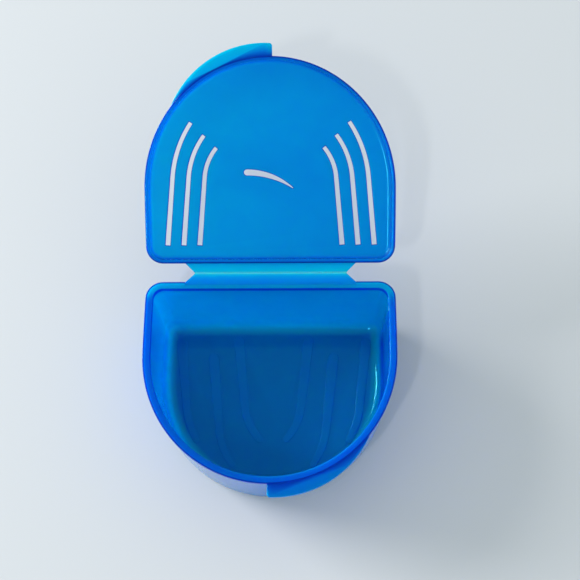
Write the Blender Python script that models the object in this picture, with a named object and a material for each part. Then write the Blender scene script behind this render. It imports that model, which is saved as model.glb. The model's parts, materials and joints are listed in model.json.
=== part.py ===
"""Hinged mouthguard case, open: a deep D-shaped base tray and a shallow vented lid on a living hinge.

The base stands on its foot with its thumb tab towards -Y and the hinge at +Y. The origin is the centre
of the foot's underside. The lid is drawn lying flat and open in the hinge's own frame, and is then
raised by REST_LIFT about the hinge line.

A distance written "station" is measured from the rear edge of the rim towards the front. "Inset" is
measured inwards from the rim's outer edge.
"""
import math

import bmesh
import bpy
from mathutils import Matrix

MM = 0.001

# Driving dimensions, in metres
HALF_WIDTH = 40.0 * MM        # half of the rim's width
RIM_LENGTH = 65.5 * MM        # rear edge to front edge of the rim
ARC_START = 24.0 * MM         # station where the sides end and the half ellipse of the front starts
SIDE_BULGE = 0.3 * MM         # how far the sides curve in towards the rear
REAR_RADIUS = 5.5 * MM        # plan radius of the rim's rear corners
INNER_RADIUS = 3.3 * MM       # least plan radius of the rear corners, inside the tray
BASE_HEIGHT = 32.0 * MM       # foot to parting plane
REST_LIFT = math.radians(27)  # the lid at rest, above lying flat and open

GAP = 0.3 * MM                # between touching pieces
HALF_GAP = GAP / 2            # from a sealing face to the parting plane
WALL = 1.4 * MM               # tray wall
FLOOR = 1.5 * MM              # tray floor
FLANGE_HEIGHT = 1.85 * MM     # rim flange
FLANGE_WIDTH = 2.35 * MM
TRAY_TOP_INSET = 0.75 * MM    # outer face of the wall under the flange
TRAY_FOOT_INSET = 2.05 * MM   # outer face of the wall where the foot's round starts
FOOT_ROUND = 4.0 * MM         # outer round between wall and underside
FLOOR_FILLET = 4.5 * MM       # inner fillet between wall and floor
FLANGE_ROUND = 0.4 * MM
FLANGE_INNER_ROUND = 0.2 * MM

LID_DEPTH = 5.8 * MM          # parting plane to the lid's outer face
PANEL = 1.3 * MM              # lid panel
PANEL_INSET = 3.0 * MM
SKIRT_WALL = 1.2 * MM
SKIRT_DRAFT = 0.35 * MM       # how far the skirt's outer face leans in
SKIRT_ROUND = 1.4 * MM        # outer round between skirt and panel
SKIRT_FILLET = 1.3 * MM       # inner fillet between skirt and panel
SKIRT_EDGE = 0.25 * MM        # bevel of the sealing face

TAB_THICKNESS = 1.4 * MM
TAB_RADIUS = 32.3 * MM        # the tab's outer edge is an arc of this radius
TAB_CENTRE_X = 1.5 * MM       # its centre, from the tab's square end's side of the case
TAB_CENTRE_STATION = 37.3 * MM
BASE_TAB_END_X = -0.4 * MM    # square end of each tab
LID_TAB_END_X = 1.1 * MM
TAB_CORNER = 1.0 * MM         # round at the tab's square end
TAB_LEAST_WIDTH = 0.25 * MM   # the tab stops where it has run in to this width

LEAF_LENGTH = 3.0 * MM        # rim's rear edge to the fold line
LEAF_THICKNESS = 0.9 * MM
LEAF_HALF_ROOT = 27.3 * MM    # half-length of a leaf at the rim
LEAF_HALF_FOLD = 24.3 * MM    # and at the fold line, so that the ends form a V
WEB_HALF_WIDTH = 0.45 * MM    # thin strip that bends
WEB_THICKNESS = 0.35 * MM

# Vents of the lid: offset from the centre line at the rear end, radius of the bend, angle of the bend
VENTS = (
    (33.3 * MM, 37.0 * MM, math.radians(29)),
    (28.1 * MM, 26.0 * MM, math.radians(32)),
    (22.95 * MM, 17.0 * MM, math.radians(35)),
)
VENT_REAR_STATION = 5.5 * MM
VENT_BEND_STATION = 27.3 * MM
VENT_LEAN = math.radians(4.8)     # the straight stretch leans inwards towards the front
VENT_REAR_HALF = 0.83 * MM        # half-widths at the two ends
VENT_FRONT_HALF = 0.62 * MM
CENTRE_VENT_START = (-7.5 * MM, 28.85 * MM)
CENTRE_VENT_RADIUS = 24.0 * MM
CENTRE_VENT_SWEEP = math.radians(38)
CENTRE_VENT_HALF = 0.95 * MM
CENTRE_VENT_TIP_HALF = 0.12 * MM

# Ribs of the floor: rear station, offset there, bend station, radius of the bend, angle of the bend
RIBS = (
    (8.3 * MM, 11.8 * MM, 33.0 * MM, 19.0 * MM, math.radians(40)),
    (14.3 * MM, 20.2 * MM, 41.0 * MM, 23.0 * MM, math.radians(33)),
    (9.0 * MM, 31.1 * MM, 33.0 * MM, 27.0 * MM, math.radians(27.5)),
)
RIB_LEAN = math.radians(5.8)
RIB_REAR_HALF = 1.78 * MM
RIB_FRONT_HALF = 1.1 * MM
RIB_HEIGHT = 0.6 * MM
RIB_SECTION = ((-1.0, 0.0), (-0.85, 0.55), (-0.4, 1.0), (0.4, 1.0), (0.85, 0.55), (1.0, 0.0))

REAR_Y = RIM_LENGTH / 2
FOLD_Y = REAR_Y + LEAF_LENGTH

ARC_STEPS = 36                # along the front half ellipse
CORNER_STEPS = 5
SIDE_STEPS = 3
ROUND_STEPS = 4               # along a fillet's profile
PATH_STEPS = 8                # along the bend of a vent or a rib
TAB_STEPS = 16                # along the tab's arc
END_STEPS = 3                 # round the end of a tab or of the centre vent
CENTRE_VENT_STEPS = 9
SHARP_ANGLE = math.radians(35)

BLUE = (0.0, 0.20, 0.62, 1.0)
PALE_BLUE = (0.03, 0.42, 0.85, 1.0)
ROUGHNESS = 0.12


def clear_scene():
    for item in list(bpy.data.objects):
        bpy.data.objects.remove(item, do_unlink=True)


def plastic(name, colour):
    material = bpy.data.materials.new(name)
    material.use_nodes = True
    shader = material.node_tree.nodes["Principled BSDF"]
    shader.inputs["Base Color"].default_value = colour
    shader.inputs["Roughness"].default_value = ROUGHNESS
    shader.inputs["Metallic"].default_value = 0.0
    return material


def make_object(name, mesh_data, colour, parent=None):
    """An object whose mesh is given in the frame of the parent, or of the world."""
    mesh_data.materials.append(plastic(name + "_plastic", colour))
    piece = bpy.data.objects.new(name, mesh_data)
    bpy.context.collection.objects.link(piece)
    piece.parent = parent
    mesh_data.shade_smooth()
    mesh_data.set_sharp_from_angle(angle=SHARP_ANGLE)
    return piece


def side_half_width(station):
    """Half-width of the rim beside the straight sides."""
    return HALF_WIDTH - SIDE_BULGE * ((ARC_START - station) / ARC_START) ** 2


def half_outline(inset):
    """Points (x, station) of the +X half of the D, from the front centre round to the rear edge."""
    radius = max(REAR_RADIUS - inset, INNER_RADIUS)
    half = HALF_WIDTH - inset
    reach = RIM_LENGTH - inset - ARC_START
    points = []
    for step in range(ARC_STEPS // 2 + 1):
        angle = math.pi / 2 * (1 - step / (ARC_STEPS // 2))
        points.append((half * math.cos(angle), ARC_START + reach * math.sin(angle)))
    corner_station = inset + radius
    for step in range(1, SIDE_STEPS + 1):
        station = ARC_START + (corner_station - ARC_START) * step / SIDE_STEPS
        points.append((side_half_width(station) - inset, station))
    centre_x = points[-1][0] - radius
    for step in range(1, CORNER_STEPS + 1):
        angle = math.pi / 2 * step / CORNER_STEPS
        points.append((centre_x + radius * math.cos(angle), corner_station - radius * math.sin(angle)))
    return points


def outline(inset):
    """The whole D as a closed run of (x, station), front centre first and round by +X."""
    right = half_outline(inset)
    left = [(-x, station) for x, station in reversed(right[1:])]
    return right + left


def base_point(x, station, height):
    return (x, REAR_Y - station, height)


def lid_point(x, station, depth):
    """A point of the lid in the hinge's frame, lying flat, its inside up."""
    return (x, LEAF_LENGTH + station, -depth)


def loft(name, loops, closed_profile):
    """A solid skinned over loops of equal length: a ring if closed_profile, else capped at both ends."""
    shape = bmesh.new()
    rows = [[shape.verts.new(point) for point in loop] for loop in loops]
    count = len(rows[0])
    pairs = list(zip(rows, rows[1:]))
    if closed_profile:
        pairs.append((rows[-1], rows[0]))
    for lower, upper in pairs:
        for i in range(count):
            j = (i + 1) % count
            shape.faces.new((lower[i], lower[j], upper[j], upper[i]))
    if not closed_profile:
        shape.faces.new(rows[0])
        shape.faces.new(rows[-1])
    return finish_mesh(name, shape)


def finish_mesh(name, shape):
    bmesh.ops.recalc_face_normals(shape, faces=shape.faces)
    mesh_data = bpy.data.meshes.new(name)
    shape.to_mesh(mesh_data)
    shape.free()
    return mesh_data


def ring(name, profile, place):
    """A ring that follows the D, from a closed profile of (inset, height or depth)."""
    loops = [[place(x, s, level) for x, s in outline(inset)] for inset, level in profile]
    return loft(name, loops, True)


def slab(name, contour, low, high, place):
    """A plate from a closed contour of (x, station)."""
    loops = [[place(x, s, level) for x, s in contour] for level in (low, high)]
    return loft(name, loops, False)


def quarter(centre, radius, start, end):
    """Points of an arc in a profile, between two angles in degrees, both ends included."""
    points = []
    for step in range(ROUND_STEPS + 1):
        angle = math.radians(start + (end - start) * step / ROUND_STEPS)
        points.append((centre[0] + radius * math.cos(angle), centre[1] + radius * math.sin(angle)))
    return points


def bent_path(start, lean, straight, radius, sweep):
    """Points (x, station, heading) of a path that runs straight and then bends on by sweep."""
    x, station = start
    path = [(x, station, lean)]
    x += straight * math.sin(lean)
    station += straight * math.cos(lean)
    for step in range(PATH_STEPS + 1):
        heading = lean + sweep * step / PATH_STEPS
        offset_x = radius * (math.cos(lean) - math.cos(heading))
        offset_s = radius * (math.sin(heading) - math.sin(lean))
        path.append((x + offset_x, station + offset_s, heading))
    return path


def path_shares(path):
    """How far along its length each point of a path lies, from 0 to 1."""
    total = [0.0]
    for (x0, s0, _), (x1, s1, _) in zip(path, path[1:]):
        total.append(total[-1] + math.hypot(x1 - x0, s1 - s0))
    return [length / total[-1] for length in total]


def strip_contour(path, half_start, half_end):
    """Closed contour of a strip that tapers along a path."""
    left, right = [], []
    for (x, s, heading), share in zip(path, path_shares(path)):
        half = half_start + (half_end - half_start) * share
        left.append((x - half * math.cos(heading), s + half * math.sin(heading)))
        right.append((x + half * math.cos(heading), s - half * math.sin(heading)))
    return right + left[::-1]


def mirrored(contour):
    return [(-x, s) for x, s in reversed(contour)]


def base_tray():
    low_wall = TRAY_FOOT_INSET
    foot = quarter((low_wall + FOOT_ROUND, FOOT_ROUND), FOOT_ROUND, 180, 270)
    inner_low = low_wall + WALL
    fillet_centre = (inner_low + FLOOR_FILLET, FLOOR + FLOOR_FILLET)
    fillet = quarter(fillet_centre, FLOOR_FILLET, 270, 180)
    top = BASE_HEIGHT - HALF_GAP - FLANGE_HEIGHT - GAP
    profile = foot[::-1] + [(TRAY_TOP_INSET, top), (FLANGE_WIDTH, top)] + fillet[::-1]
    loops = [[base_point(x, s, z) for x, s in outline(inset)] for inset, z in profile]
    make_object("base_tray", loft("base_tray", loops, False), BLUE)


def base_rim():
    top = BASE_HEIGHT - HALF_GAP
    bottom = top - FLANGE_HEIGHT
    profile = [
        (FLANGE_ROUND, bottom), (0.0, bottom + FLANGE_ROUND), (0.0, top - FLANGE_ROUND), (FLANGE_ROUND, top),
        (FLANGE_WIDTH - FLANGE_INNER_ROUND, top), (FLANGE_WIDTH, top - FLANGE_INNER_ROUND), (FLANGE_WIDTH, bottom),
    ]
    make_object("base_rim", ring("base_rim", profile, base_point), BLUE)


def tab_contour(end_x):
    """Contour of the +X tab: out along its arc, back along the rim's edge with a gap."""
    def arc_station(x):
        return TAB_CENTRE_STATION + math.sqrt(TAB_RADIUS ** 2 - (x - TAB_CENTRE_X) ** 2)

    def rim_station(x):
        half = HALF_WIDTH + GAP
        return ARC_START + (RIM_LENGTH + GAP - ARC_START) * math.sqrt(1 - (x / half) ** 2)

    tip_x = end_x + TAB_CORNER
    far_x = tip_x
    while arc_station(far_x) - rim_station(far_x) > TAB_LEAST_WIDTH:
        far_x += 0.1 * MM
    spread = [tip_x + (far_x - tip_x) * step / TAB_STEPS for step in range(TAB_STEPS + 1)]
    outer = [(x, arc_station(x)) for x in spread]
    inner = [(x, rim_station(x)) for x in reversed(spread)]
    corner_station = arc_station(tip_x) - TAB_CORNER
    corner = []
    for step in range(END_STEPS):
        angle = math.pi / 2 * step / END_STEPS
        corner.append((tip_x - TAB_CORNER * math.cos(angle), corner_station + TAB_CORNER * math.sin(angle)))
    return outer + inner + [(end_x, rim_station(end_x))] + corner


def thumb_tabs(hinge):
    top = BASE_HEIGHT - HALF_GAP
    base_tab = slab("base_thumb_tab", tab_contour(BASE_TAB_END_X), top - TAB_THICKNESS, top, base_point)
    make_object("base_thumb_tab", base_tab, BLUE)
    contour = mirrored(tab_contour(-LID_TAB_END_X))
    lid_tab = slab("lid_thumb_tab", contour, HALF_GAP + TAB_THICKNESS, HALF_GAP, lid_point)
    make_object("lid_thumb_tab", lid_tab, BLUE, hinge)


def leaf_contour():
    """A hinge leaf, from beside the rim to beside the thin web, as (x, station) with stations behind 0."""
    def half_at(distance):
        return LEAF_HALF_ROOT + (LEAF_HALF_FOLD - LEAF_HALF_ROOT) * distance / LEAF_LENGTH

    near, far = GAP, LEAF_LENGTH - WEB_HALF_WIDTH - GAP
    return [(half_at(near), -near), (half_at(far), -far), (-half_at(far), -far), (-half_at(near), -near)]


def hinge_pieces(hinge):
    top = BASE_HEIGHT - HALF_GAP
    contour = leaf_contour()
    base_leaf = slab("base_hinge_leaf", contour, top - LEAF_THICKNESS, top, base_point)
    make_object("base_hinge_leaf", base_leaf, PALE_BLUE)
    lid_leaf = slab("lid_hinge_leaf", contour, HALF_GAP + LEAF_THICKNESS, HALF_GAP, lid_point)
    make_object("lid_hinge_leaf", lid_leaf, PALE_BLUE, hinge)
    web_half = LEAF_HALF_FOLD
    rear, front = -LEAF_LENGTH - WEB_HALF_WIDTH, -LEAF_LENGTH + WEB_HALF_WIDTH
    strip = [(web_half, front), (web_half, rear), (-web_half, rear), (-web_half, front)]
    web = slab("hinge_web", strip, top - WEB_THICKNESS, top, base_point)
    make_object("hinge_web", web, PALE_BLUE)


def lid_skirt(hinge):
    round_centre = (SKIRT_DRAFT + SKIRT_ROUND, LID_DEPTH - SKIRT_ROUND)
    panel_top = LID_DEPTH - PANEL
    fillet_centre = (SKIRT_WALL + SKIRT_FILLET, panel_top - SKIRT_FILLET)
    inner_edge = PANEL_INSET - GAP
    profile = [(SKIRT_EDGE, HALF_GAP), (0.0, HALF_GAP + SKIRT_EDGE)]
    profile += quarter(round_centre, SKIRT_ROUND, 180, 90)
    profile += [(inner_edge, LID_DEPTH), (inner_edge, panel_top)]
    profile += quarter(fillet_centre, SKIRT_FILLET, 90, 180)
    profile += [(SKIRT_WALL, HALF_GAP + SKIRT_EDGE), (SKIRT_WALL - SKIRT_EDGE, HALF_GAP)]
    make_object("lid_skirt", ring("lid_skirt", profile, lid_point), BLUE, hinge)


def vent_contours():
    """Closed contours of the six side vents and the tapered centre vent."""
    contours = []
    straight = (VENT_BEND_STATION - VENT_REAR_STATION) / math.cos(VENT_LEAN)
    for rear_x, radius, sweep in VENTS:
        path = bent_path((-rear_x, VENT_REAR_STATION), VENT_LEAN, straight, radius, sweep)
        left = strip_contour(path, VENT_REAR_HALF, VENT_FRONT_HALF)
        contours += [left, mirrored(left)]
    contours.append(centre_vent())
    return contours


def centre_vent():
    """One curved slot with a round left end that tapers to a point on the right."""
    start_x, start_s = CENTRE_VENT_START
    upper, lower = [], []
    for step in range(CENTRE_VENT_STEPS + 1):
        share = step / CENTRE_VENT_STEPS
        angle = CENTRE_VENT_SWEEP * share
        half = CENTRE_VENT_TIP_HALF + (CENTRE_VENT_HALF - CENTRE_VENT_TIP_HALF) * (1 - share ** 2)
        x = start_x + CENTRE_VENT_RADIUS * math.sin(angle)
        s = start_s - CENTRE_VENT_RADIUS * (1 - math.cos(angle))
        upper.append((x + half * math.sin(angle), s + half * math.cos(angle)))
        lower.append((x - half * math.sin(angle), s - half * math.cos(angle)))
    cap = []
    for step in range(1, END_STEPS + 1):
        angle = math.pi * step / (END_STEPS + 1)
        across = CENTRE_VENT_HALF * math.sin(angle)
        cap.append((start_x - across, start_s - CENTRE_VENT_HALF * math.cos(angle)))
    return upper + lower[::-1] + cap


def lid_panel(hinge):
    panel = slab("lid_panel", outline(PANEL_INSET), LID_DEPTH, LID_DEPTH - PANEL, lid_point)
    piece = make_object("lid_panel", panel, BLUE, hinge)
    past = PANEL
    for number, contour in enumerate(vent_contours(), 1):
        tool_mesh = slab("vent_tool", contour, LID_DEPTH + past, LID_DEPTH - PANEL - past, lid_point)
        tool = bpy.data.objects.new(f"vent_tool_{number}", tool_mesh)
        bpy.context.collection.objects.link(tool)
        tool.parent = hinge
        tool.hide_render = True
        tool.display_type = "WIRE"
        cut = piece.modifiers.new(f"vent_{number}", "BOOLEAN")
        cut.operation = "DIFFERENCE"
        cut.solver = "EXACT"
        cut.object = tool


def rib_loops(path, side):
    """Cross-sections of a low rounded rib along a path, in the base's frame."""
    base_z = FLOOR + GAP
    loops = []
    for (x, s, heading), share in zip(path, path_shares(path)):
        half = RIB_REAR_HALF + (RIB_FRONT_HALF - RIB_REAR_HALF) * share
        loop = []
        for across, up in RIB_SECTION:
            px = side * (x + half * across * math.cos(heading))
            ps = s - half * across * math.sin(heading)
            loop.append(base_point(px, ps, base_z + RIB_HEIGHT * up))
        loops.append(loop)
    return loops


def floor_ribs():
    number = 0
    for rear_station, offset, bend_station, radius, sweep in RIBS:
        straight = (bend_station - rear_station) / math.cos(RIB_LEAN)
        path = bent_path((-offset, rear_station), RIB_LEAN, straight, radius, sweep)
        for side in (1, -1):
            number += 1
            name = f"floor_rib_{number}"
            make_object(name, loft(name, rib_loops(path, side), False), BLUE)


def hinge_frame():
    """The empty on the fold line that carries the lid at its rest angle."""
    hinge = bpy.data.objects.new("lid_hinge_axis", None)
    bpy.context.collection.objects.link(hinge)
    hinge.matrix_world = Matrix.Translation((0.0, FOLD_Y, BASE_HEIGHT)) @ Matrix.Rotation(REST_LIFT, 4, "X")
    return hinge


def main():
    clear_scene()
    hinge = hinge_frame()
    base_tray()
    base_rim()
    floor_ribs()
    thumb_tabs(hinge)
    hinge_pieces(hinge)
    lid_skirt(hinge)
    lid_panel(hinge)


main()
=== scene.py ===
import json
import math

import bmesh
import bpy
import numpy as np
from mathutils import Matrix, Vector


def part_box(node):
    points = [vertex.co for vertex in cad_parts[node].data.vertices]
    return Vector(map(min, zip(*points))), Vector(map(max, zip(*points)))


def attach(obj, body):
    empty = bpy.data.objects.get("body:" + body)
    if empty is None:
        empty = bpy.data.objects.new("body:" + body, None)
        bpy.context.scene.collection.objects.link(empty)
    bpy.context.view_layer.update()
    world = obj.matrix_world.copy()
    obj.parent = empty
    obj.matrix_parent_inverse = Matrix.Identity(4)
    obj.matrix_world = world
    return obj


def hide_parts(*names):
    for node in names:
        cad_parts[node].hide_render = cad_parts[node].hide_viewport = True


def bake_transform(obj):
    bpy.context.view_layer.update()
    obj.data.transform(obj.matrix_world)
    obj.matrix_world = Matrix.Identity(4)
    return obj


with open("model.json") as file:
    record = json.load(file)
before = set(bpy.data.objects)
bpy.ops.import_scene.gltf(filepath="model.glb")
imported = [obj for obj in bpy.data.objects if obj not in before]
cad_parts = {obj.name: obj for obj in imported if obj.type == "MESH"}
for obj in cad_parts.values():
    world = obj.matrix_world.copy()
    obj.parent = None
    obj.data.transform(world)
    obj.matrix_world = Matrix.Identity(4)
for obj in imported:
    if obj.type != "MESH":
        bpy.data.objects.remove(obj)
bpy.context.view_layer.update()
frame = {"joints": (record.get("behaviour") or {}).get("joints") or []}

MM = 0.001

# Taken from the CAD frame
RIM_LOW, RIM_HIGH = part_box("base_rim")
JOINT = next(joint for joint in frame["joints"] if joint["name"] == "lid_hinge")
FOLD = Vector(JOINT["pos_m"])
REST_LIFT = math.radians(180 - max(JOINT["range_deg"]))
HALF_WIDTH = RIM_HIGH.x
REAR_Y = RIM_HIGH.y
RIM_LENGTH = RIM_HIGH.y - RIM_LOW.y
LEAF_LENGTH = FOLD.y - REAR_Y

# The D-shaped plan
ARC_START = 24.0 * MM
SIDE_BULGE = 0.3 * MM
REAR_RADIUS = 5.5 * MM
INNER_RADIUS = 3.3 * MM

# Base
HALF_GAP = 0.15 * MM
WALL = 1.4 * MM
FLOOR = 1.5 * MM
FLANGE_HEIGHT = 1.85 * MM
FLANGE_WIDTH = 2.35 * MM
FLANGE_ROUND = 0.1 * MM
TRAY_TOP_INSET = 0.75 * MM
TRAY_FOOT_INSET = 2.05 * MM
FOOT_ROUND = 4.0 * MM
FLOOR_FILLET = 4.5 * MM
FLANGE_INNER_ROUND = 0.2 * MM
FLANGE_LOW_ROUND = 0.3 * MM
WALL_ROUND = 0.2 * MM         # between the tray's wall and the flange's underside
WALL_STEP = 0.1 * MM          # the wall stands this far inside the flange's inner face,
WALL_STEP_HEIGHT = 0.2 * MM   # a step that slopes over this height, with as much upright wall below it
FLAT_MARGIN = 0.5 * MM        # a flat face's last loop lies this far inside its round

# Lid
LID_DEPTH = 5.8 * MM
PANEL = 1.3 * MM
SKIRT_WALL = 1.2 * MM
SKIRT_DRAFT = 0.35 * MM
SKIRT_ROUND = 1.4 * MM
SKIRT_FILLET = 1.3 * MM
SKIRT_EDGE = 0.25 * MM
EDGE_DARK = 0.35 * MM         # a rim is darkest from its outside to here,
EDGE_DEPTH = 0.6 * MM         # and its dark outline ends here
EDGE_DROP = 0.6 * MM          # down its outer face the outline has ended by here

# Thumb tabs
TAB_THICKNESS = 1.4 * MM
TAB_RADIUS = 32.3 * MM
TAB_CENTRE_X = 1.5 * MM
TAB_CENTRE_STATION = 37.3 * MM
BASE_TAB_END_X = -0.4 * MM
LID_TAB_END_X = 1.1 * MM
TAB_CORNER = 1.0 * MM
TAB_ROOT = 0.9 * MM
TAB_BURY = 0.2 * MM           # where the tab ends, its outer arc is this far inside the rim's edge
TAB_EDGE = 0.2 * MM
TAB_DROP = 0.1 * MM           # the tab's face lies this far below the rim's
TAB_SEARCH_STEP = 0.02 * MM   # for finding where the tab meets the rim

# Living hinge
LEAF_HALF_ROOT = 27.3 * MM
LEAF_HALF_FOLD = 24.3 * MM
LEAF_STEP = 0.25 * MM         # the leaf lies this far below the rim's top
LEAF_OVERLAP = 1.1 * MM       # and runs this far onto the rim
LEAF_ROOT_THICKNESS = 0.95 * MM
LEAF_FOLD_THICKNESS = 0.6 * MM
LEAF_END_ROUND = 0.22 * MM
LEAF_EDGE = 0.12 * MM
LEAF_BURY = 0.5 * MM          # the lid's leaf ends this far inside the lid's rear wall
LEAF_PROUD = 0.1 * MM         # the leaf's top stands this far above the recess that takes it
RECESS_PLAY = 0.05 * MM       # room round the leaf's end, at the recess's floor
RECESS_TOP_PLAY = 0.15 * MM   # and at the top of the tool that cuts it
RECESS_PAST = 1.0 * MM        # the tool reaches this far past the rim's rear edge
RECESS_HEIGHT = 2.0 * MM      # and this far above the recess's floor
WEB_HALF = 0.4 * MM
WEB_THICKNESS = 0.35 * MM
GROOVE_DEPTH = 0.12 * MM      # the groove above the web
GROOVE_POWER = 1.5            # the higher, the flatter its bottom

# Vents in the lid's panel: distance from the middle at the rear, and the bend's radius and sweep
VENTS = (
    (33.3 * MM, 37.0 * MM, math.radians(29)),
    (28.1 * MM, 26.0 * MM, math.radians(32)),
    (22.95 * MM, 17.0 * MM, math.radians(35)),
)
VENT_REAR_STATION = 5.5 * MM
VENT_BEND_STATION = 27.3 * MM
VENT_LEAN = math.radians(4.8)
VENT_REAR_HALF = 0.78 * MM
VENT_FRONT_HALF = 0.62 * MM
VENT_EDGE = 0.28 * MM
VENT_EDGE_DEGREES = (70, 45, 20, 0)
VENT_TOOL_PAST = 0.3 * MM     # the cutting tool reaches this far past each face of the panel,
VENT_TOOL_COLLAR = 0.02 * MM  # and starts to narrow this far outside it
CENTRE_VENT_START = (-7.5 * MM, 28.85 * MM)
CENTRE_VENT_RADIUS = 24.0 * MM
CENTRE_VENT_SWEEP = math.radians(38)
CENTRE_VENT_HALF = 0.95 * MM
CENTRE_VENT_TIP_HALF = 0.12 * MM

# Ribs on the floor: rear station, distance from the middle there, and the bend's station, radius and sweep
RIBS = (
    (8.3 * MM, 11.8 * MM, 33.0 * MM, 19.0 * MM, math.radians(40)),
    (14.3 * MM, 20.2 * MM, 41.0 * MM, 23.0 * MM, math.radians(33)),
    (9.0 * MM, 31.1 * MM, 33.0 * MM, 27.0 * MM, math.radians(27.5)),
)
RIB_LEAN = math.radians(5.8)
RIB_REAR_HALF = 1.78 * MM
RIB_FRONT_HALF = 1.1 * MM
RIB_HEIGHT = 0.3 * MM
RIB_ROUND = 0.15 * MM
RIB_CROWN = 0.02 * MM
RIB_FLARE = 0.1 * MM
RIB_SUNK = 0.3 * MM
RIB_END_WIDTH = 0.2           # share of a rib's width that is left at its very end

# How finely round shapes are divided
ARC_STEPS = 112
SIDE_STEPS = 10
CORNER_STEPS = 12
ROUND_STEPS = 8
PATH_STEPS = 24
TAB_STEPS = 40
TAB_CORNER_STEPS = 6
PLATE_EDGE_STEPS = 3
RIB_END_STEPS = 8
RIB_CROWN_STEPS = 6
CENTRE_VENT_STEPS = 24
CAP_STEPS = 10
LEAF_STEPS = 6
LEAF_END_STEPS = 4
WEB_STEPS = 16
WALL_SHARES = (0.25, 0.5, 0.75)
SHARP_ANGLE = math.radians(38)
MERGE_DISTANCE = 0.002 * MM
DEGENERATE_EDGE = 0.001 * MM
MITRE_LEAST = 0.5             # so a sharp corner moves at most twice as far as the sides beside it
NO_LENGTH = 1e-6

# Camera: what it looks at, from the middle of the fold line, and how it is turned
CAMERA_OFFSET = Vector((6.28 * MM, -5.95 * MM, 0))
CAMERA_DISTANCE = 445.5 * MM
CAMERA_TILT = math.radians(20.445)
CAMERA_TURN = math.radians(1.589)
CAMERA_ROLL = math.radians(0.381)
CAMERA_LENS, SENSOR_WIDTH = 86.9, 36.0     # in millimetres, as Blender takes them
CLIP_START, CLIP_END = 0.01, 50.0

# Light and floor. The side lamp stands where the lid's fillet mirrors it into the camera.
AMBIENT = 0.81
AMBIENT_COLOUR = (0.82, 0.92, 0.96, 1.0)
KEY_PLACE = (-1.45, 0.62, 0.60)
KEY_SIZE = (0.9, 0.9)
KEY_POWER = 38.5
KEY_COLOUR = (1.0, 0.98, 1.0)
SIDE_PLACE = (-0.31, -0.586, 1.115)
SIDE_SIZE = (0.05, 0.13)
SIDE_POWER = 2.0
SIDE_COLOUR = (1.0, 1.0, 1.0)
PALE_FLOOR = (0.565, 0.58, 0.585, 1.0)
FLOOR_SIZE = 12.0
FLOOR_DROP = 0.05 * MM        # the floor lies this far below the foot
FLOOR_ROUGHNESS = 0.55

# Plastic
CLEARNESS = 0.5
REFRACTION = 1.49
SHELL_SCATTER, SHELL_FORWARD = 20.0 * MM, 0.9
HINGE_SCATTER, HINGE_FORWARD = 3.0 * MM, 0.8
SCATTER_RADII = (0.2, 0.7, 1.0)
GLOSS_TINT = (0.05, 0.85, 1.0, 1.0)
ABSORPTION = 1000.0
ABSORPTION_COLOUR = (0.3, 0.85, 0.99, 1.0)
ROUGHNESS_LOW, ROUGHNESS_HIGH = 0.07, 0.12
NOISE_LOW, NOISE_HIGH = 0.3, 0.7          # the part of a noise's range that is used
FLOW_SCALE, FLOW_DETAIL, FLOW_DISTORTION = 60.0, 3.0, 1.2
GRAIN_SCALE, GRAIN_DETAIL = 900.0, 2.0
CLOUD_TINT = (0.9, 0.93, 0.98, 1.0)
WAVE_STRENGTH, WAVE_DEPTH = 0.04, 0.2 * MM

# Tints, laid on by place. They were chosen by comparing renders with the photo, and stand for how the one
# blue plastic looks there. Several stand for light and not for plastic: the photo is brighter on its left, so
# the panel's left tint is paler than panel, painted light, and the right wall's tint is darker than wall,
# painted shade. The base's tab tint is painted shade, the fillet's tint is a paler band of painted light, the
# floor's edge tint is painted light and its middle tint painted shade, and the slot tint is painted shade on
# the vents' own faces.
TINTS = {
    "panel": (0.0, 0.27, 0.87),
    "panel_painted_light": (0.0, 0.37, 0.95),
    "edge": (0.0, 0.03, 0.30),
    "lid_rim": (0.0, 0.17, 0.85),
    "slot": (0.0, 0.05, 0.45),
    "lid_leaf": (0.0, 0.48, 1.0),
    "lid_tab": (0.0, 0.42, 1.0),
    "web": (0.16, 0.80, 1.0),
    "fold": (0.0, 0.66, 1.0),
    "base_leaf": (0.0, 0.32, 0.95),
    "base_tab": (0.0, 0.19, 0.70),
    "rear_rim": (0.0, 0.38, 1.0),
    "rim": (0.0, 0.155, 0.86),
    "riser": (0.0, 0.08, 0.68),
    "wall": (0.0, 0.28, 1.0),
    "rear_wall": (0.0, 0.38, 1.0),
    "wall_painted_shade": (0.0, 0.105, 0.90),
    "fillet": (0.0, 0.48, 1.0),
    "floor_edge_painted_light": (0.0, 0.28, 1.0),
    "floor": (0.0, 0.25, 0.88),
}

# Where a tint gives way to the next
FLOOR_EDGE_END = 20.0 * MM                # inset from which the floor has its darker middle tint, painted shade
FILLET_FADE = 1.4 * MM                    # the fillet's paler tint, painted light, fades over this much inset
WALL_START, WALL_FULL = 0.9 * MM, 2.6 * MM            # heights above the floor
REAR_WALL_END, WALL_SIDE = 5.0 * MM, 12.0 * MM        # stations
REAR_RIM_END, RIM_SIDE = 2.4 * MM, 7.0 * MM           # stations
INNER_FACE = 0.2 * MM                     # above the floor, the inner face is at least this far inside the
                                          # foot's edge
RISER_START, RISER_FULL = 0.2 * MM, 0.05 * MM         # insets short of the flange's inner face
RIM_FADE = 0.1 * MM                       # heights above and below the flange's underside
TAB_FULL, TAB_END = 0.25 * MM, 0.05 * MM              # distances outside the rim's edge
LID_RIM_FADE = 0.6                        # share of the skirt's fillet
SLOT_MARGIN = 0.01 * MM                   # a slot's own faces lie this far inside the panel's


# ---------------------------------------------------------------- camera, light and stage

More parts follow.
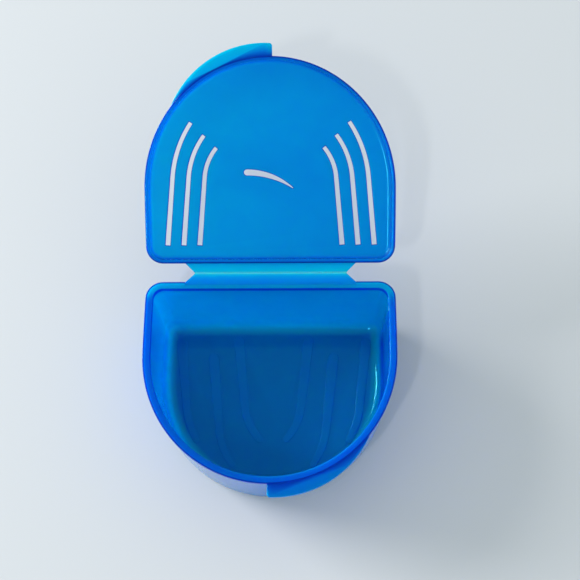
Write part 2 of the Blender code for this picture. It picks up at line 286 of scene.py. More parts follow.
def make_camera():
    """Looks down at the open case from in front of the base, a little to the right of its middle."""
    level = math.cos(CAMERA_TURN)
    back = Vector((math.sin(CAMERA_TURN), -math.sin(CAMERA_TILT) * level, math.cos(CAMERA_TILT) * level))
    back.normalize()
    right = Vector((0, 1, 0)).cross(back).normalized()
    up = back.cross(right)
    tilted_right = right * math.cos(CAMERA_ROLL) + up * math.sin(CAMERA_ROLL)
    tilted_up = up * math.cos(CAMERA_ROLL) - right * math.sin(CAMERA_ROLL)
    camera = bpy.data.objects.new("camera", bpy.data.cameras.new("camera"))
    bpy.context.scene.collection.objects.link(camera)
    camera.data.lens = CAMERA_LENS
    camera.data.sensor_width = SENSOR_WIDTH
    camera.data.clip_start = CLIP_START
    camera.data.clip_end = CLIP_END
    place = Matrix((tilted_right, tilted_up, back)).transposed().to_4x4()
    place.translation = FOLD + CAMERA_OFFSET + back * CAMERA_DISTANCE
    camera.matrix_world = place
    bpy.context.scene.camera = camera


def area_light(name, location, size, power, colour):
    """An elliptical lamp that faces the origin, the middle of the base's foot."""
    light = bpy.data.lights.new(name, "AREA")
    light.shape = "ELLIPSE"
    light.size, light.size_y = size
    light.energy = power
    light.color = colour
    lamp = bpy.data.objects.new(name, light)
    bpy.context.scene.collection.objects.link(lamp)
    lamp.location = location
    lamp.rotation_euler = (-Vector(location)).to_track_quat("-Z", "Y").to_euler()


def make_light():
    world = bpy.data.worlds.new("studio")
    bpy.context.scene.world = world
    world.use_nodes = True
    background = world.node_tree.nodes["Background"]
    background.inputs["Color"].default_value = AMBIENT_COLOUR
    background.inputs["Strength"].default_value = AMBIENT
    area_light("window", KEY_PLACE, KEY_SIZE, KEY_POWER, KEY_COLOUR)
    area_light("side_accent", SIDE_PLACE, SIDE_SIZE, SIDE_POWER, SIDE_COLOUR)


def make_stage():
    bpy.ops.mesh.primitive_plane_add(size=FLOOR_SIZE, location=(0, 0, -FLOOR_DROP))
    floor = bpy.context.object
    floor.name = "studio_floor"
    material, nodes, _ = new_material("pale_floor")
    shader = nodes["Principled BSDF"]
    shader.inputs["Base Color"].default_value = PALE_FLOOR
    shader.inputs["Roughness"].default_value = FLOOR_ROUGHNESS
    floor.data.materials.append(material)


# ---------------------------------------------------------------- plans, profiles and paths

def half_outline(inset):
    """Points (x, station) of the +X half of the D, from the front centre round to the rear edge."""
    radius = max(REAR_RADIUS - inset, INNER_RADIUS)
    half = HALF_WIDTH - inset
    reach = RIM_LENGTH - inset - ARC_START
    points = []
    for step in range(ARC_STEPS // 2 + 1):
        angle = math.pi / 2 * (1 - step / (ARC_STEPS // 2))
        points.append((half * math.cos(angle), ARC_START + reach * math.sin(angle)))
    corner_station = inset + radius
    for step in range(1, SIDE_STEPS + 1):
        station = ARC_START + (corner_station - ARC_START) * step / SIDE_STEPS
        bulge = SIDE_BULGE * ((ARC_START - station) / ARC_START) ** 2
        points.append((half - bulge, station))
    centre_x = points[-1][0] - radius
    for step in range(1, CORNER_STEPS + 1):
        angle = math.pi / 2 * step / CORNER_STEPS
        points.append((centre_x + radius * math.cos(angle), corner_station - radius * math.sin(angle)))
    return points


def outline(inset):
    """The whole closed D, at an inset from the rim's edge."""
    right = half_outline(inset)
    left = [(-x, station) for x, station in reversed(right[1:])]
    return right + left


def arc(centre, radius, start, end, steps=ROUND_STEPS):
    """Points of a profile's arc between two angles in degrees."""
    points = []
    for step in range(steps + 1):
        angle = math.radians(start + (end - start) * step / steps)
        points.append((centre[0] + radius * math.cos(angle), centre[1] + radius * math.sin(angle)))
    return points


def bent_path(start, lean, straight, radius, sweep):
    """Points (x, station, heading) of a path that runs straight and then bends on by sweep."""
    x, station = start
    path = []
    for step in range(PATH_STEPS):
        run = straight * step / PATH_STEPS
        path.append((x + run * math.sin(lean), station + run * math.cos(lean), lean))
    x += straight * math.sin(lean)
    station += straight * math.cos(lean)
    for step in range(PATH_STEPS + 1):
        heading = lean + sweep * step / PATH_STEPS
        offset_x = radius * (math.cos(lean) - math.cos(heading))
        offset_s = radius * (math.sin(heading) - math.sin(lean))
        path.append((x + offset_x, station + offset_s, heading))
    return path


def with_dense_ends(path, reach):
    """The path with extra points within reach of both ends, so that a rounded end comes out round."""
    (x0, s0, h0), (x1, s1, h1) = path[0], path[-1]
    dense = []
    for step in range(RIB_END_STEPS):
        run = reach * (1 - math.cos(math.pi / 2 * step / RIB_END_STEPS))
        dense.append((x0 + run * math.sin(h0), s0 + run * math.cos(h0), h0))
    distances = path_distances(path)
    dense += [point for point, distance in zip(path, distances) if reach < distance < distances[-1] - reach]
    for step in reversed(range(RIB_END_STEPS)):
        run = reach * (1 - math.cos(math.pi / 2 * step / RIB_END_STEPS))
        dense.append((x1 - run * math.sin(h1), s1 - run * math.cos(h1), h1))
    return dense


def path_distances(path):
    """How far along the path each of its points lies."""
    total = [0.0]
    for (x0, s0, _), (x1, s1, _) in zip(path, path[1:]):
        total.append(total[-1] + math.hypot(x1 - x0, s1 - s0))
    return total


def base_point(x, station, height):
    """A point of the base, at a height above its foot."""
    return Vector((x, REAR_Y - station, height))


LID_FRAME = Matrix.Translation(FOLD) @ Matrix.Rotation(REST_LIFT, 4, "X")


def lid_point(x, station, depth):
    """A point of the lid at rest; its inside faces up while it lies open."""
    return LID_FRAME @ Vector((x, LEAF_LENGTH + station, -depth))


# ---------------------------------------------------------------- mesh tools

def loft(loops):
    """A closed bmesh skinned over loops of equal length, and capped at both ends."""
    shape = bmesh.new()
    rows = [[shape.verts.new(point) for point in loop] for loop in loops]
    count = len(rows[0])
    for lower, upper in zip(rows, rows[1:]):
        for i in range(count):
            j = (i + 1) % count
            shape.faces.new((lower[i], lower[j], upper[j], upper[i]))
    shape.faces.new(rows[0])
    shape.faces.new(rows[-1])
    bmesh.ops.recalc_face_normals(shape, faces=shape.faces)
    return shape


def to_object(name, shape):
    """An object in the scene, from a bmesh that it uses up."""
    mesh = bpy.data.meshes.new(name)
    shape.to_mesh(mesh)
    shape.free()
    piece = bpy.data.objects.new(name, mesh)
    bpy.context.scene.collection.objects.link(piece)
    return piece


def several(name, shapes):
    """One object out of several separate closed shapes."""
    whole = bmesh.new()
    for shape in shapes:
        part = bpy.data.meshes.new("part")
        shape.to_mesh(part)
        shape.free()
        whole.from_mesh(part)
        bpy.data.meshes.remove(part)
    return to_object(name, whole)


def combine(piece, tool, operation):
    """Joins tool to piece, or cuts it out of piece, for good."""
    modifier = piece.modifiers.new("combine", "BOOLEAN")
    modifier.operation = operation
    modifier.solver = "EXACT"
    modifier.object = tool
    graph = bpy.context.evaluated_depsgraph_get()
    made = bpy.data.meshes.new_from_object(piece.evaluated_get(graph))
    piece.modifiers.clear()
    old = piece.data
    piece.data = made
    bpy.data.meshes.remove(old)
    bpy.data.objects.remove(tool, do_unlink=True)


def finish_surface(piece):
    """Cleans up the mesh, and shades it smooth except at its sharp edges."""
    shape = bmesh.new()
    shape.from_mesh(piece.data)
    bmesh.ops.remove_doubles(shape, verts=shape.verts, dist=MERGE_DISTANCE)
    bmesh.ops.dissolve_degenerate(shape, edges=shape.edges, dist=DEGENERATE_EDGE)
    shape.to_mesh(piece.data)
    shape.free()
    piece.data.shade_smooth()
    piece.data.set_sharp_from_angle(angle=SHARP_ANGLE)
    weighted = piece.modifiers.new("weighted_normals", "WEIGHTED_NORMAL")
    weighted.keep_sharp = True


def plate(contour, levels, place):
    """A plate from a closed contour, with an edge bevel given as (level, inset of the contour) pairs."""
    loops = []
    for level, inset in levels:
        loops.append([place(x, s, level) for x, s in shrink(contour, inset)])
    return loft(loops)


def shrink(contour, distance):
    """The closed contour moved inwards by a small distance, corner by corner."""
    if distance == 0:
        return contour
    points = [Vector(point) for point in contour]
    area = sum(a.x * b.y - b.x * a.y for a, b in zip(points, points[1:] + points[:1]))
    turn = 1 if area > 0 else -1
    moved = []
    for i, point in enumerate(points):
        before = (point - points[i - 1]).normalized()
        after = (points[(i + 1) % len(points)] - point).normalized()
        normal = Vector((-(before.y + after.y), before.x + after.x)) * turn
        if normal.length < NO_LENGTH:
            normal = Vector((-before.y, before.x)) * turn
        normal.normalize()
        sideways = Vector((-before.y, before.x)) * turn
        reach = 1 / max(normal.dot(sideways), MITRE_LEAST)
        moved.append(tuple(point + normal * distance * reach))
    return moved


# ---------------------------------------------------------------- base

def base_body():
    """Tray and rim in one skin, from the middle of the underside round to the middle of the floor."""
    top = FOLD.z - HALF_GAP
    under = top - FLANGE_HEIGHT
    inner_low = TRAY_FOOT_INSET + WALL
    profile = [(TRAY_FOOT_INSET + FOOT_ROUND + FLAT_MARGIN, 0.0)]
    profile += arc((TRAY_FOOT_INSET + FOOT_ROUND, FOOT_ROUND), FOOT_ROUND, 270, 180)
    for share in WALL_SHARES:
        inset = TRAY_FOOT_INSET + (TRAY_TOP_INSET - TRAY_FOOT_INSET) * share
        profile.append((inset, FOOT_ROUND + (under - FOOT_ROUND) * share))
    profile += arc((TRAY_TOP_INSET - WALL_ROUND, under - WALL_ROUND), WALL_ROUND, 0, 90, steps=3)
    profile += arc((FLANGE_LOW_ROUND, under + FLANGE_LOW_ROUND), FLANGE_LOW_ROUND, 270, 180, steps=4)
    profile.append((0.0, top - EDGE_DROP))
    profile += arc((FLANGE_ROUND, top - FLANGE_ROUND), FLANGE_ROUND, 180, 90, steps=5)
    profile += [(EDGE_DARK, top), (EDGE_DEPTH, top)]
    inner_edge = (FLANGE_WIDTH - FLANGE_INNER_ROUND, top - FLANGE_INNER_ROUND)
    profile.append((FLANGE_WIDTH - 2 * FLANGE_INNER_ROUND, top))
    profile += arc(inner_edge, FLANGE_INNER_ROUND, 90, 0, steps=4)
    wall_top = FLANGE_WIDTH + WALL_STEP
    profile.append((FLANGE_WIDTH, under + WALL_STEP_HEIGHT))
    profile += [(wall_top, under), (wall_top, under - WALL_STEP_HEIGHT)]
    fillet_centre = (inner_low + FLOOR_FILLET, FLOOR + FLOOR_FILLET)
    for share in reversed(WALL_SHARES):
        inset = inner_low + (wall_top - inner_low) * share
        profile.append((inset, fillet_centre[1] + (under - fillet_centre[1]) * share))
    profile += arc(fillet_centre, FLOOR_FILLET, 180, 270)
    profile.append((inner_low + FLOOR_FILLET + FLAT_MARGIN, FLOOR))
    loops = [[base_point(x, s, z) for x, s in outline(inset)] for inset, z in profile]
    return to_object("case_base", loft(loops))


def tab_contour(end_x):
    """The +X tab: out along its arc, and back just inside the rim's edge."""
    def arc_station(x):
        return TAB_CENTRE_STATION + math.sqrt(TAB_RADIUS ** 2 - (x - TAB_CENTRE_X) ** 2)

    def rim_station(x, inset):
        half = HALF_WIDTH - inset
        return ARC_START + (RIM_LENGTH - inset - ARC_START) * math.sqrt(1 - (x / half) ** 2)

    tip_x = end_x + TAB_CORNER
    far_x = tip_x
    while arc_station(far_x) > rim_station(far_x, TAB_BURY):
        far_x += TAB_SEARCH_STEP
    spread = [tip_x + (far_x - tip_x) * step / TAB_STEPS for step in range(TAB_STEPS + 1)]
    outer = [(x, arc_station(x)) for x in spread]
    inner = [(x, rim_station(x, TAB_ROOT)) for x in reversed(spread)]
    corner_station = arc_station(tip_x) - TAB_CORNER
    corner = []
    for step in range(TAB_CORNER_STEPS):
        angle = math.pi / 2 * step / TAB_CORNER_STEPS
        corner.append((tip_x - TAB_CORNER * math.cos(angle), corner_station + TAB_CORNER * math.sin(angle)))
    return outer + inner + [(end_x, rim_station(end_x, TAB_ROOT))] + corner


def edge_levels(low, high, edge):
    """Levels and insets of a plate whose outer edges are rounded."""
    lower, upper = [], []
    for step in range(PLATE_EDGE_STEPS + 1):
        angle = math.pi / 2 * step / PLATE_EDGE_STEPS
        rise, inset = edge * (1 - math.sin(angle)), edge * (1 - math.cos(angle))
        lower.append((low + rise, inset))
        upper.append((high - rise, inset))
    return lower[::-1] + upper


def recess_tool(floor_level):
    """Clears the rim's top for the end of the leaf that lies on it."""
    ceiling = floor_level + RECESS_HEIGHT
    profile = [(-RECESS_PAST, floor_level), (LEAF_OVERLAP + RECESS_PLAY, floor_level),
               (LEAF_OVERLAP + RECESS_TOP_PLAY, ceiling), (-RECESS_PAST, ceiling)]
    half = LEAF_HALF_ROOT + RECESS_PLAY
    return loft([[base_point(x, station, level) for station, level in profile] for x in (-half, half)])


def rib_section(half):
    """Points (across, up) of a low flat-topped rib with rounded edges, from foot to foot."""
    side = [(half + RIB_FLARE, -RIB_SUNK), (half + RIB_FLARE, 0.0)]
    side += arc((half + RIB_FLARE, RIB_FLARE), RIB_FLARE, 270, 200, steps=4)
    side += arc((half - RIB_ROUND, RIB_HEIGHT - RIB_ROUND), RIB_ROUND, 20, 75, steps=5)
    left = [(-across, up) for across, up in side]
    crown = []
    for step in range(1, RIB_CROWN_STEPS):
        across = -1 + 2 * step / RIB_CROWN_STEPS
        crown.append((across * (half - RIB_ROUND), RIB_HEIGHT + RIB_CROWN * (1 - across ** 2)))
    return left + crown + side[::-1]


def rib_shape(path, side):
    """A low rib along path, with rounded ends, sunk a little into the floor."""
    distances = path_distances(path)
    total = distances[-1]
    loops = []
    for (x, s, heading), distance in zip(path, distances):
        half = RIB_REAR_HALF + (RIB_FRONT_HALF - RIB_REAR_HALF) * distance / total
        end = min(distance, total - distance)
        swell = max(RIB_END_WIDTH, math.sqrt(1 - (1 - min(end / half, 1)) ** 2))
        loop = []
        for across, up in rib_section(half):
            across *= swell
            px = side * (x + across * math.cos(heading))
            ps = s - across * math.sin(heading)
            loop.append(base_point(px, ps, FLOOR + up))
        loops.append(loop)
    return loft(loops)


def rib_shapes():
    """The six floor ribs, in three mirrored pairs."""
    shapes = []
    for rear_station, offset, bend_station, radius, sweep in RIBS:
        straight = (bend_station - rear_station) / math.cos(RIB_LEAN)
        path = bent_path((-offset, rear_station), RIB_LEAN, straight, radius, sweep)
        path = with_dense_ends(path, RIB_REAR_HALF)
        for side in (1, -1):
            shapes.append(rib_shape(path, side))
    return shapes


def make_base():
    """Tray, rim, thumb tab and floor ribs, in one piece."""
    top = FOLD.z - HALF_GAP
    piece = base_body()
    combine(piece, to_object("recess", recess_tool(top - LEAF_STEP - LEAF_PROUD)), "DIFFERENCE")
    levels = edge_levels(top - TAB_THICKNESS, top - TAB_DROP, TAB_EDGE)
    tab = plate(tab_contour(BASE_TAB_END_X), levels, base_point)
    combine(piece, to_object("tab", tab), "UNION")
    combine(piece, several("ribs", rib_shapes()), "UNION")
    finish_surface(piece)
    paint_base(piece)
    return piece


# ---------------------------------------------------------------- lid

def lid_body():
    """Skirt and panel in one skin, from the middle of the outer face round to the middle of the inner one."""
    panel_top = LID_DEPTH - PANEL
    round_centre = (SKIRT_DRAFT + SKIRT_ROUND, LID_DEPTH - SKIRT_ROUND)
    fillet_centre = (SKIRT_WALL + SKIRT_FILLET, panel_top - SKIRT_FILLET)
    profile = [(SKIRT_DRAFT + SKIRT_ROUND + FLAT_MARGIN, LID_DEPTH)]
    profile += arc(round_centre, SKIRT_ROUND, 90, 180)
    skirt_face = round_centre[1] - HALF_GAP - SKIRT_EDGE
    profile.append((SKIRT_DRAFT * (EDGE_DROP - SKIRT_EDGE) / skirt_face, HALF_GAP + EDGE_DROP))
    profile += arc((SKIRT_EDGE, HALF_GAP + SKIRT_EDGE), SKIRT_EDGE, 180, 270, steps=4)
    profile += [(EDGE_DARK, HALF_GAP), (EDGE_DEPTH, HALF_GAP)]
    profile += arc((SKIRT_WALL - SKIRT_EDGE, HALF_GAP + SKIRT_EDGE), SKIRT_EDGE, 270, 360, steps=4)
    profile += arc(fillet_centre, SKIRT_FILLET, 180, 90)
    profile.append((fillet_centre[0] + FLAT_MARGIN, panel_top))
    loops = [[lid_point(x, s, depth) for x, s in outline(inset)] for inset, depth in profile]
    return to_object("case_lid", loft(loops))


def strip_contour(path, half_start, half_end):
    """Closed contour of a strip along path, whose half-width changes evenly from start to end."""
    left, right = [], []
    distances = path_distances(path)
    for (x, s, heading), distance in zip(path, distances):
        half = half_start + (half_end - half_start) * distance / distances[-1]
        left.append((x - half * math.cos(heading), s + half * math.sin(heading)))
        right.append((x + half * math.cos(heading), s - half * math.sin(heading)))
    return right + left[::-1]


def mirrored(contour):
    """The contour on the other side of the middle, still going round the same way."""
    return [(-x, s) for x, s in reversed(contour)]


def centre_vent():
    """Closed contour of the centre vent, which tapers along an arc from its round end."""
    start_x, start_s = CENTRE_VENT_START
    upper, lower = [], []
    for step in range(CENTRE_VENT_STEPS + 1):
        share = step / CENTRE_VENT_STEPS
        angle = CENTRE_VENT_SWEEP * share
        half = CENTRE_VENT_TIP_HALF + (CENTRE_VENT_HALF - CENTRE_VENT_TIP_HALF) * (1 - share ** 2)
        x = start_x + CENTRE_VENT_RADIUS * math.sin(angle)
        s = start_s - CENTRE_VENT_RADIUS * (1 - math.cos(angle))
        upper.append((x + half * math.sin(angle), s + half * math.cos(angle)))
        lower.append((x - half * math.sin(angle), s - half * math.cos(angle)))
    cap = []
    for step in range(1, CAP_STEPS):
        angle = math.pi * step / CAP_STEPS
        across, along = CENTRE_VENT_HALF * math.sin(angle), CENTRE_VENT_HALF * math.cos(angle)
        cap.append((start_x - across, start_s - along))
    return upper + lower[::-1] + cap


def vent_contours():
    """Closed contours of the six side vents and the centre vent."""
    contours = []
    straight = (VENT_BEND_STATION - VENT_REAR_STATION) / math.cos(VENT_LEAN)
    for rear_x, radius, sweep in VENTS:
        path = bent_path((-rear_x, VENT_REAR_STATION), VENT_LEAN, straight, radius, sweep)
        left = strip_contour(path, VENT_REAR_HALF, VENT_FRONT_HALF)
        contours += [left, mirrored(left)]
    contours.append(centre_vent())
    return contours


def vent_tool(contour):
    """Cuts a slot whose lips are rounded on both faces of the panel."""
    inner, outer = LID_DEPTH - PANEL, LID_DEPTH
    levels = [(inner - VENT_TOOL_PAST, -VENT_EDGE), (inner - VENT_TOOL_COLLAR, -VENT_EDGE)]
    for degrees in VENT_EDGE_DEGREES:
        angle = math.radians(degrees)
        levels.append((inner + VENT_EDGE * (1 - math.sin(angle)), -VENT_EDGE * (1 - math.cos(angle))))
    mirrored_levels = [(inner + outer - level, inset) for level, inset in reversed(levels)]
    return plate(contour, levels + mirrored_levels, lid_point)


def make_lid():
    """Skirt, panel with its vents, and thumb tab, in one piece."""
    piece = lid_body()
    combine(piece, several("vents", [vent_tool(contour) for contour in vent_contours()]), "DIFFERENCE")
    contour = mirrored(tab_contour(-LID_TAB_END_X))
    levels = edge_levels(HALF_GAP + TAB_DROP, HALF_GAP + TAB_THICKNESS, TAB_EDGE)
    tab = plate(contour, levels, lid_point)
    combine(piece, to_object("tab", tab), "UNION")
    finish_surface(piece)
    paint_lid(piece)
    return piece


# ---------------------------------------------------------------- tints, by place

def insets(points):
    """How far inside the rim's edge each point (x, station) lies, negative outside it."""
    edge = np.array(outline(0.0))
    start, run = edge, np.roll(edge, -1, axis=0) - edge
    length = (run ** 2).sum(axis=1)
    offset = points[:, None, :] - start[None]
    share = np.clip((offset * run[None]).sum(axis=2) / length[None], 0, 1)
    gap = offset - share[..., None] * run[None]
    nearest = np.sqrt((gap ** 2).sum(axis=2))
    closest = nearest.argmin(axis=1)
    rows = np.arange(len(points))
    cross = run[closest, 0] * offset[rows, closest, 1] - run[closest, 1] * offset[rows, closest, 0]
    area = (edge[:, 0] * np.roll(edge[:, 1], -1) - np.roll(edge[:, 0], -1) * edge[:, 1]).sum()
    return nearest[rows, closest] * np.sign(cross) * np.sign(area)


def ease(values, start, end):
    """A smooth step: 0 up to start, 1 from end on."""
    share = np.clip((values - start) / (end - start), 0, 1)
    return share * share * (3 - 2 * share)


def paint(piece, tints):
    """Writes tints, one colour for each vertex, where the material reads it."""
    attribute = piece.data.attributes.new("tint", "FLOAT_VECTOR", "POINT")
    attribute.data.foreach_set("vector", np.array(tints, dtype=np.float32).ravel())


def coordinates(piece):
    """The mesh's vertices as rows of an array."""
    flat = np.empty(len(piece.data.vertices) * 3, dtype=np.float32)
    piece.data.vertices.foreach_get("co", flat)
    return flat.reshape(-1, 3).astype(float)


def blend_tint(below, above, share):
    """Two tints, single or one for each vertex, mixed by share."""
    return np.array(below) * (1 - share[:, None]) + np.array(above) * share[:, None]


def outline_share(inset, drop, rounding):
    """How much of a rim's dark outline a point shows, by its inset and how far it is below the rim's face."""
    return (1 - ease(inset, EDGE_DARK, EDGE_DEPTH)) * (1 - ease(drop, rounding, EDGE_DROP))


def paint_base(piece):
    """Tints the base from the floor upwards: floor, fillet, wall, rim, and last the tab. Some of these tints
    are painted light and shade: the floor's edge and the fillet are paler, the right wall and the tab darker.
    """
    place = coordinates(piece)
    height, station = place[:, 2], REAR_Y - place[:, 1]
    inset = insets(np.column_stack((place[:, 0], station)))
    top = FOLD.z - HALF_GAP
    under = top - FLANGE_HEIGHT
    fillet_end = TRAY_FOOT_INSET + WALL + FLOOR_FILLET
    # The floor is paler near its edge and darker towards its middle: painted light and painted shade.
    floor = blend_tint(TINTS["floor_edge_painted_light"], TINTS["floor"], ease(inset, fillet_end, FLOOR_EDGE_END))
    # The fillet is paler still, a painted band of light.
    tint = blend_tint(TINTS["fillet"], floor, ease(inset, fillet_end - FILLET_FADE, fillet_end))
    # The wall is darker towards the right: painted shade.
    inside = inset > TRAY_FOOT_INSET + INNER_FACE
    wall = blend_tint(TINTS["wall"], TINTS["wall_painted_shade"], ease(place[:, 0], 0.0, HALF_WIDTH) * inside)
    wall = blend_tint(TINTS["rear_wall"], wall, ease(station, REAR_WALL_END, WALL_SIDE))
    tint = blend_tint(tint, wall, ease(height, FLOOR + WALL_START, FLOOR + WALL_FULL))
    rim = blend_tint(TINTS["rear_rim"], TINTS["rim"], ease(station, REAR_RIM_END, RIM_SIDE))
    riser = ease(inset, FLANGE_WIDTH - RISER_START, FLANGE_WIDTH - RISER_FULL)
    rim = blend_tint(rim, TINTS["riser"], riser)
    rim = blend_tint(rim, TINTS["edge"], outline_share(inset, top - height, FLANGE_ROUND))
    tint = blend_tint(tint, rim, ease(height, under - RIM_FADE, under + RIM_FADE))
    # The base's tab is darker than the lid's: painted shade.
    tint = blend_tint(TINTS["base_tab"], tint, ease(inset, -TAB_FULL, -TAB_END))
    paint(piece, tint)


def paint_lid(piece):
    """Tints the lid: rim, panel, dark outline, the vents' own faces, and last the tab. The panel's paler left
    is painted light, and the vents' dark faces are painted shade.
    """
    own = coordinates(piece) @ np.array(LID_FRAME.inverted().to_3x3()).T
    own += np.array(LID_FRAME.inverted().translation)
    station, depth = own[:, 1] - LEAF_LENGTH, -own[:, 2]
    inset = insets(np.column_stack((own[:, 0], station)))
    # The panel is paler towards its left: painted light.
    panel = blend_tint(TINTS["panel_painted_light"], TINTS["panel"], ease(own[:, 0], -HALF_WIDTH, 0.0))
    panel_share = ease(inset, SKIRT_WALL, SKIRT_WALL + LID_RIM_FADE * SKIRT_FILLET)
    tint = blend_tint(TINTS["lid_rim"], panel, panel_share)
    tint = blend_tint(tint, TINTS["edge"], outline_share(inset, depth - HALF_GAP, SKIRT_EDGE))
    # The vents' own faces are dark: painted shade.
    in_slot = (depth > LID_DEPTH - PANEL + SLOT_MARGIN) & (depth < LID_DEPTH - SLOT_MARGIN)
    in_slot &= inset > SKIRT_WALL + SKIRT_FILLET
    tint[in_slot] = TINTS["slot"]
    tint = blend_tint(TINTS["lid_tab"], tint, ease(inset, -TAB_FULL, -TAB_END))
    paint(piece, tint)


# ---------------------------------------------------------------- the hinge

def hinge_row(distance):
    """One crosswise row of the hinge, at a distance past the fold line (negative on the base's side):
    its centre, its upward direction, how far its top lies below that centre, its thickness and half width."""
    along = max(-1.0, min(1.0, distance / WEB_HALF))
    share = min(1.0, abs(distance) / LEAF_LENGTH)
    thickness = LEAF_FOLD_THICKNESS + (LEAF_ROOT_THICKNESS - LEAF_FOLD_THICKNESS) * share
    thin = 1 - abs(along) ** GROOVE_POWER
    level = HALF_GAP + LEAF_STEP + GROOVE_DEPTH * thin
    thickness += (WEB_THICKNESS - thickness) * thin
    lean = REST_LIFT * 0.5 * (1 + math.sin(math.pi / 2 * along))
    bend = REST_LIFT if distance > 0 else 0.0
    centre = FOLD + Vector((0, math.cos(bend), math.sin(bend))) * distance
    half = LEAF_HALF_FOLD + (LEAF_HALF_ROOT - LEAF_HALF_FOLD) * share
    return centre, Vector((0, -math.sin(lean), math.cos(lean))), level, thickness, half


def hinge_distances():
    """Where the hinge's rows lie, from the end of the base's leaf to the end of the lid's."""
    reach = LEAF_LENGTH - WEB_HALF
    rows = []
    for step in range(LEAF_END_STEPS + 1):
        past = LEAF_END_ROUND * (1 - math.cos(math.pi / 2 * step / LEAF_END_STEPS))
        rows.append(-LEAF_LENGTH - LEAF_OVERLAP + past)
    rows += [-LEAF_LENGTH + reach * step / LEAF_STEPS for step in range(LEAF_STEPS)]
    rows += [-WEB_HALF + 2 * WEB_HALF * step / WEB_STEPS for step in range(WEB_STEPS + 1)]
    rows += [WEB_HALF + reach * step / LEAF_STEPS for step in range(1, LEAF_STEPS + 1)]
    return rows + [LEAF_LENGTH + LEAF_BURY]


def hinge_tint(distance):
    """A leaf's tint, which turns into the fold's towards the fold line, and over the web into the web's.
    It turns later on the base's side."""
    nearness = 1 - min(1.0, abs(distance) / LEAF_LENGTH)
    if distance < 0:
        root, share = np.array(TINTS["base_leaf"]), nearness ** 2
    else:
        root, share = np.array(TINTS["lid_leaf"]), nearness
    tint = root + (np.array(TINTS["fold"]) - root) * share
    thin = max(0.0, 1 - abs(distance) / WEB_HALF)
    return tint + (np.array(TINTS["web"]) - tint) * thin


def make_hinge():
    """Two leaves and the thin web between them, with a groove above and below, in one skin."""
    loops, tints = [], []
    for row, distance in enumerate(hinge_distances()):
        centre, up, level, thickness, half = hinge_row(distance)
        if row < LEAF_END_STEPS:
            drop = LEAF_END_ROUND * (1 - math.sin(math.pi / 2 * row / LEAF_END_STEPS))
        else:
            drop = 0.0
        top, bottom = level + drop, level + thickness
        shoulder = level + LEAF_EDGE + drop
        section = [(-half, bottom), (half, bottom), (half, shoulder), (half - LEAF_EDGE, top),
                   (LEAF_EDGE - half, top), (-half, shoulder)]
        loops.append([centre + Vector((across, 0, 0)) - up * below for across, below in section])
        tints += [hinge_tint(distance)] * len(section)
    piece = to_object("hinge", loft(loops))
    paint(piece, tints)
    finish_surface(piece)
    return piece


# ---------------------------------------------------------------- plastic

def new_material(name):
    """A material with its nodes and links."""
    material = bpy.data.materials.new(name)
    material.use_nodes = True
    return material, material.node_tree.nodes, material.node_tree.links


def noise(nodes, links, coordinate, scale, detail, distortion=0.0):
    """The value of a noise texture."""
    texture = nodes.new("ShaderNodeTexNoise")
    texture.inputs["Scale"].default_value = scale
    texture.inputs["Detail"].default_value = detail
    texture.inputs["Distortion"].default_value = distortion
    links.new(coordinate, texture.inputs["Vector"])
    return texture.outputs["Fac"]


def remap(nodes, links, value, low, high):
    """A noise's value, spread from low to high."""
    ranged = nodes.new("ShaderNodeMapRange")
    ranged.inputs["From Min"].default_value = NOISE_LOW
    ranged.inputs["From Max"].default_value = NOISE_HIGH
    ranged.inputs["To Min"].default_value = low
    ranged.inputs["To Max"].default_value = high
    links.new(value, ranged.inputs["Value"])
    return ranged.outputs["Result"]


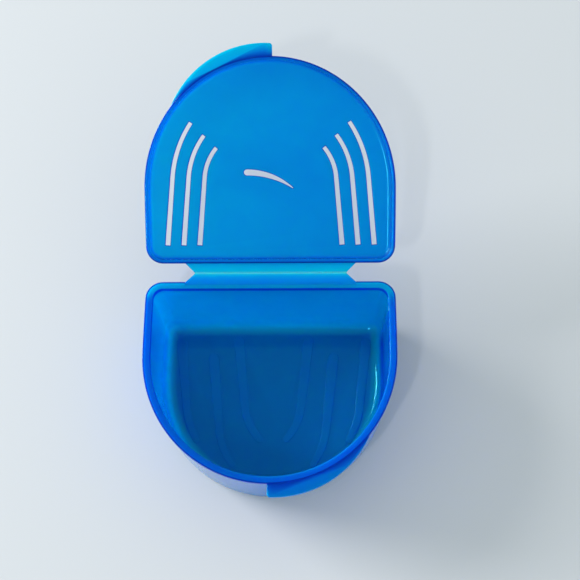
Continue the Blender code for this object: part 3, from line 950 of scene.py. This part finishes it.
def blue_plastic(name, depth, forward):
    """Glossy, slightly cloudy polypropylene, coloured by its tint attribute. Light goes about as far as depth
    into it, more or less straight on."""
    material, nodes, links = new_material(name)
    shader = nodes["Principled BSDF"]
    output = nodes["Material Output"]
    coordinate = nodes.new("ShaderNodeTexCoord").outputs["Object"]
    flow = noise(nodes, links, coordinate, FLOW_SCALE, FLOW_DETAIL, FLOW_DISTORTION)
    grain = noise(nodes, links, coordinate, GRAIN_SCALE, GRAIN_DETAIL)
    tint = nodes.new("ShaderNodeAttribute")
    tint.attribute_name = "tint"
    cloud = nodes.new("ShaderNodeMix")
    cloud.data_type = "RGBA"
    cloud.blend_type = "MULTIPLY"
    cloud.inputs["B"].default_value = CLOUD_TINT
    links.new(tint.outputs["Vector"], cloud.inputs["A"])
    links.new(remap(nodes, links, flow, 0.0, 1.0), cloud.inputs["Factor"])
    links.new(cloud.outputs["Result"], shader.inputs["Base Color"])
    links.new(remap(nodes, links, grain, ROUGHNESS_LOW, ROUGHNESS_HIGH), shader.inputs["Roughness"])
    shader.inputs["IOR"].default_value = REFRACTION
    shader.inputs["Specular Tint"].default_value = GLOSS_TINT
    shader.inputs["Transmission Weight"].default_value = CLEARNESS
    shader.inputs["Subsurface Weight"].default_value = 1.0
    shader.inputs["Subsurface Radius"].default_value = SCATTER_RADII
    shader.inputs["Subsurface Scale"].default_value = depth
    shader.inputs["Subsurface Anisotropy"].default_value = forward
    bump = nodes.new("ShaderNodeBump")
    bump.inputs["Strength"].default_value = WAVE_STRENGTH
    bump.inputs["Distance"].default_value = WAVE_DEPTH
    links.new(flow, bump.inputs["Height"])
    links.new(bump.outputs["Normal"], shader.inputs["Normal"])
    absorb = nodes.new("ShaderNodeVolumeAbsorption")
    absorb.inputs["Color"].default_value = ABSORPTION_COLOUR
    absorb.inputs["Density"].default_value = ABSORPTION
    links.new(absorb.outputs["Volume"], output.inputs["Volume"])
    return material


# ---------------------------------------------------------------- build

make_camera()
make_light()
make_stage()
bpy.context.scene.view_settings.view_transform = "Standard"

shell_plastic = blue_plastic("blue_shell_plastic", SHELL_SCATTER, SHELL_FORWARD)
hinge_plastic = blue_plastic("blue_hinge_plastic", HINGE_SCATTER, HINGE_FORWARD)
base = make_base()
base.data.materials.append(shell_plastic)
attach(base, "base")
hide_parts("base_tray", "base_rim", "base_thumb_tab", *[f"floor_rib_{n}" for n in range(1, 7)])

lid = make_lid()
lid.data.materials.append(shell_plastic)
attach(lid, "lid")
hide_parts("lid_skirt", "lid_panel", "lid_thumb_tab")

hinge = make_hinge()
hinge.data.materials.append(hinge_plastic)
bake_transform(hinge)
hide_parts("base_hinge_leaf", "hinge_web", "lid_hinge_leaf")
